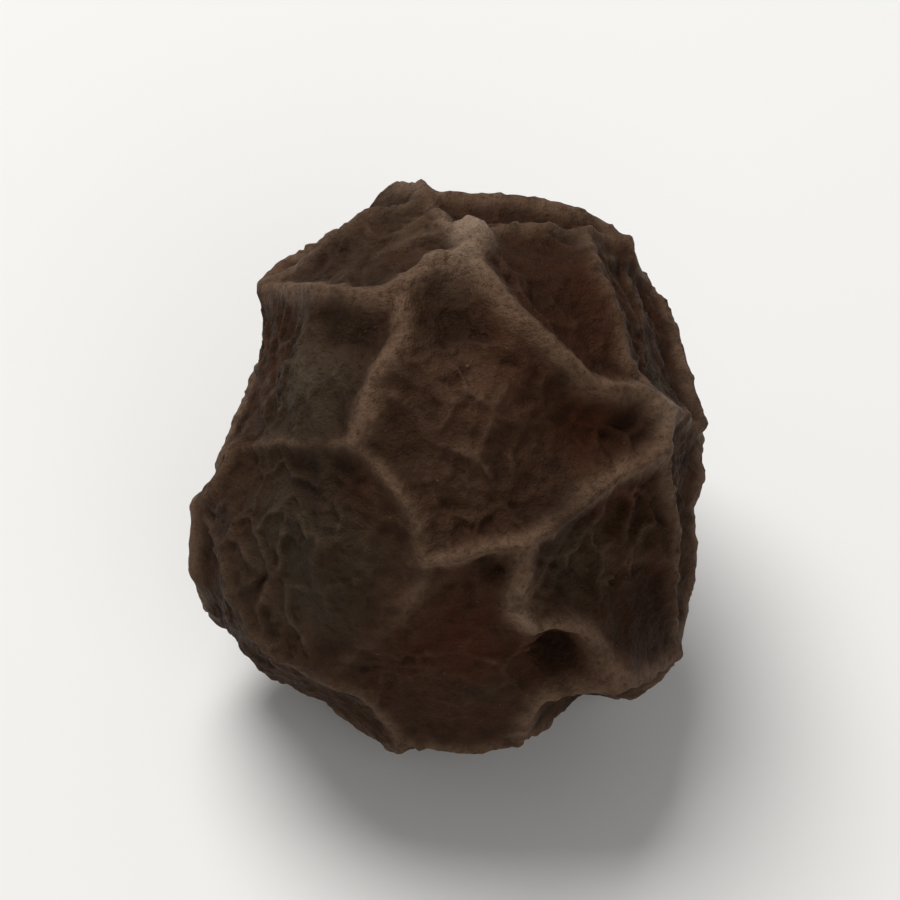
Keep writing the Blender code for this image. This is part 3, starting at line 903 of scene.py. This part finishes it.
def floor_colours(nodes, look, mottle, broad, painted_light_cast):
    """Colour of the floors: mottled brown with green and red casts, painted shade in the dark patches and
    hollows, and painted light in the pale patches.
    """
    floor = nodes.mix(nodes.range(mottle, 0.20, 0.60), look.dark_skin_and_shade_colour, look.floor_colour)
    green_cast = nodes.maths("MAXIMUM", nodes.value_of("green"), nodes.range(broad, 0.56, 0.78, 0, 0.7))
    green = nodes.maths("MULTIPLY", green_cast, nodes.range(mottle, 0.18, 0.55))
    floor = nodes.mix(green, floor, look.green_colour)
    red_cast = nodes.maths("MAXIMUM", nodes.value_of("red"), nodes.range(broad, 0.46, 0.24, 0, 0.8))
    red = nodes.maths("MULTIPLY", red_cast, nodes.range(mottle, 0.20, 0.58))
    floor = nodes.mix(red, floor, look.red_colour)
    # Painted shade: the dark patches under the ridges and in the cells' corners.
    floor = nodes.mix(nodes.maths("MULTIPLY", nodes.value_of("painted_shade"), 0.85), floor, look.dark_skin_and_shade_colour)
    # Painted light: the pale patches on the lit top, crests and swellings.
    floor = nodes.mix(nodes.maths("MULTIPLY", painted_light_cast, 0.6), floor, look.crest_and_light_colour)
    # Painted shade in the deep hollows and the small hollows.
    floor = nodes.mix(nodes.range(nodes.value_of("deep_shade"), 0.58, 1.0, 0, 0.6), floor, look.dark_skin_and_shade_colour)
    return nodes.mix(nodes.range(nodes.value_of("hollow"), 0.55, 0.95, 0, 0.75), floor, look.dark_skin_and_shade_colour)


def rubbed_share(nodes, mottle, speckle):
    """How far the skin is rubbed pale: most on the crests, in patches, and less where shade is painted."""
    raised = nodes.maths("MULTIPLY", nodes.range(nodes.value_of("hollow"), 0.50, 0.10), 0.45)
    rubbed = nodes.maths("MAXIMUM", nodes.range(nodes.value_of("crest"), 0.15, 0.85), raised)
    rubbed = nodes.maths("MULTIPLY", rubbed, nodes.range(mottle, 0.22, 0.66, 0.30, 1.0))
    rubbed = nodes.maths("MULTIPLY", rubbed, nodes.range(speckle, 0.20, 0.62, 0.55, 1.0))
    # Less rubbing where shade is painted.
    return nodes.maths("MULTIPLY", rubbed, nodes.range(nodes.value_of("painted_shade"), 0, 1, 1.0, 0.35))


def skin_material(look):
    """Dried skin: dark floors with green and red casts, pale rubbed crests and a corky scar, with painted
    shade in the hollows and dark patches and painted light in pale patches.
    """
    nodes = Nodes("dried_skin")
    place = place_in_millimetres(nodes)
    broad, mottle, speckle, grain = (nodes.noise(place, kind) for kind in (BROAD, MOTTLE, SPECKLE, GRAIN))

    # Painted light in patches on the lit top, crests and swellings.
    painted_light_cast = nodes.maths("MULTIPLY", nodes.value_of("painted_light"), nodes.range(mottle, 0.28, 0.60))
    floor = floor_colours(nodes, look, mottle, broad, painted_light_cast)
    rubbed = rubbed_share(nodes, mottle, speckle)
    # Rubbed crests, paler still where light is painted.
    worn_and_painted_light = nodes.mix(nodes.maths("MULTIPLY", painted_light_cast, 0.75), look.crest_and_light_colour, look.dust_and_light_colour)
    skin = nodes.mix(rubbed, floor, worn_and_painted_light)
    knob = nodes.range(nodes.value_of("tip"), 0.2, 0.9)
    dusty = nodes.maths("MAXIMUM", nodes.range(speckle, 0.67, 0.79, 0, 0.40), knob)
    skin = nodes.mix(dusty, skin, look.dust_and_light_colour)
    skin = nodes.mix(nodes.range(speckle, 0.46, 0.26, 0, 0.5), skin, look.floor_colour)
    scar = nodes.mix(nodes.range(speckle, 0.30, 0.70), look.scar_colour, look.crest_and_light_colour)
    # Painted shade in the scar's pits.
    scar = nodes.mix(nodes.range(nodes.value_of("hollow"), 0.52, 0.75, 0, 0.9), scar, look.floor_colour)
    nodes.put(nodes.shader.inputs["Base Color"], nodes.mix(nodes.value_of("scar"), skin, scar))

    rough = nodes.range(rubbed, 0, 1, look.floor_roughness, look.crest_roughness)
    rough = nodes.maths("ADD", rough, nodes.range(grain, 0.3, 0.7, -0.08, 0.10))
    nodes.put(nodes.shader.inputs["Roughness"], rough)
    nodes.put(nodes.shader.inputs["Specular IOR Level"], 0.06)

    fine_bump = nodes.bump(grain, 0.020, look.grain_bump)
    bump = nodes.bump(speckle, 0.055, look.grain_bump, over=fine_bump)
    nodes.put(nodes.shader.inputs["Normal"], bump)
    return nodes.material


class PEPPERCORN_OT_grow_berry(Operator):
    """Grow the wrinkled skin in place of the plain solid"""

    bl_idname = "peppercorn.grow_berry"
    bl_label = "Grow Berry"
    bl_options = {"REGISTER", "UNDO"}

    def execute(self, context):
        shape = context.scene.peppercorn_shape
        deselect_all()
        bpy.ops.mesh.primitive_ico_sphere_add(
            subdivisions=SPHERE_STEPS,
            radius=HALF_DEPTH * MM,
            location=(0, 0, SCAR_DEPTH * MM),
            calc_uvs=False,
        )
        berry = context.active_object
        berry.name = berry.data.name = "wrinkled_berry"
        bpy.ops.object.transform_apply(location=True, rotation=True, scale=True)
        bpy.ops.object.mode_set(mode="EDIT")
        bpy.ops.mesh.select_all(action="SELECT")
        bpy.ops.mesh.subdivide(number_cuts=SPHERE_CUTS)
        bpy.ops.object.mode_set(mode="OBJECT")
        weights = push_out(berry.data, shape)
        add_grain(berry, weights, shape)
        bpy.ops.object.shade_smooth()
        berry.data.materials.append(skin_material(context.scene.peppercorn_skin))
        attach(berry, "root")
        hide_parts(SOLID)
        return {"FINISHED"}


def add_light(name, place, size, power, target):
    bpy.ops.object.light_add(type="AREA", location=place)
    lamp = bpy.context.active_object
    lamp.name = lamp.data.name = name
    lamp.data.shape = "DISK"
    lamp.data.size = size
    lamp.data.energy = power
    lamp.rotation_euler = (target - Vector(place)).to_track_quat("-Z", "Y").to_euler()


def floor_material(look):
    """Matt pale card with a faint tooth."""
    nodes = Nodes("pale_card")
    place = place_in_millimetres(nodes)
    nodes.put(nodes.shader.inputs["Base Color"], look.floor_colour)
    nodes.put(nodes.shader.inputs["Roughness"], 0.85)
    nodes.put(nodes.shader.inputs["Normal"], nodes.bump(nodes.noise(place, CARD_TOOTH), 0.02, 0.12))
    return nodes.material


class PEPPERCORN_OT_set_stage(Operator):
    """Add the pale floor, the soft lights and the camera"""

    bl_idname = "peppercorn.set_stage"
    bl_label = "Set Stage"
    bl_options = {"REGISTER", "UNDO"}

    def execute(self, context):
        look = context.scene.peppercorn_stage
        target = (solid_low + solid_high) / 2
        deselect_all()
        bpy.ops.mesh.primitive_plane_add(size=1.2, location=(0, 0, 0))
        floor = context.active_object
        floor.name = floor.data.name = "floor"
        floor.data.materials.append(floor_material(look))

        add_light("key_light", KEY_PLACE, KEY_SIZE, look.key_power, target)
        add_light("fill_light", FILL_PLACE, FILL_SIZE, look.fill_power, target)
        world = bpy.data.worlds.new("even_light")
        world.use_nodes = True
        background = world.node_tree.nodes["Background"]
        background.inputs["Color"].default_value = (1, 1, 1, 1)
        background.inputs["Strength"].default_value = look.sky
        context.scene.world = world
        context.scene.view_settings.view_transform = "Standard"

        back = Vector((0, -math.cos(look.elevation), math.sin(look.elevation)))
        bpy.ops.object.camera_add(location=target + back * look.distance)
        camera = context.active_object
        camera.name = "camera"
        camera.rotation_euler = (-back).to_track_quat("-Z", "Y").to_euler()
        camera.data.lens = look.lens
        camera.data.clip_start = MM
        camera.data.clip_end = 10
        context.scene.camera = camera
        return {"FINISHED"}


class PEPPERCORN_PT_panel(Panel):
    """Lists the peppercorn's steps and what they use"""

    bl_label = "Black Peppercorn"
    bl_idname = "PEPPERCORN_PT_panel"
    bl_space_type = "VIEW_3D"
    bl_region_type = "UI"
    bl_category = "Peppercorn"

    def draw(self, context):
        for group, operator in (
            (context.scene.peppercorn_shape, None),
            (context.scene.peppercorn_skin, "peppercorn.grow_berry"),
            (context.scene.peppercorn_stage, "peppercorn.set_stage"),
        ):
            box = self.layout.box()
            for name in group.__annotations__:
                box.prop(group, name)
            if operator:
                box.operator(operator)


CLASSES = (
    PEPPERCORN_PG_shape,
    PEPPERCORN_PG_skin,
    PEPPERCORN_PG_stage,
    PEPPERCORN_OT_grow_berry,
    PEPPERCORN_OT_set_stage,
    PEPPERCORN_PT_panel,
)


def register():
    for made in CLASSES:
        bpy.utils.register_class(made)
    bpy.types.Scene.peppercorn_shape = PointerProperty(type=PEPPERCORN_PG_shape)
    bpy.types.Scene.peppercorn_skin = PointerProperty(type=PEPPERCORN_PG_skin)
    bpy.types.Scene.peppercorn_stage = PointerProperty(type=PEPPERCORN_PG_stage)


def unregister():
    del bpy.types.Scene.peppercorn_stage
    del bpy.types.Scene.peppercorn_skin
    del bpy.types.Scene.peppercorn_shape
    for made in reversed(CLASSES):
        bpy.utils.unregister_class(made)


def main():
    register()
    bpy.ops.peppercorn.grow_berry()
    bpy.ops.peppercorn.set_stage()


if __name__ == "__main__":
    main()
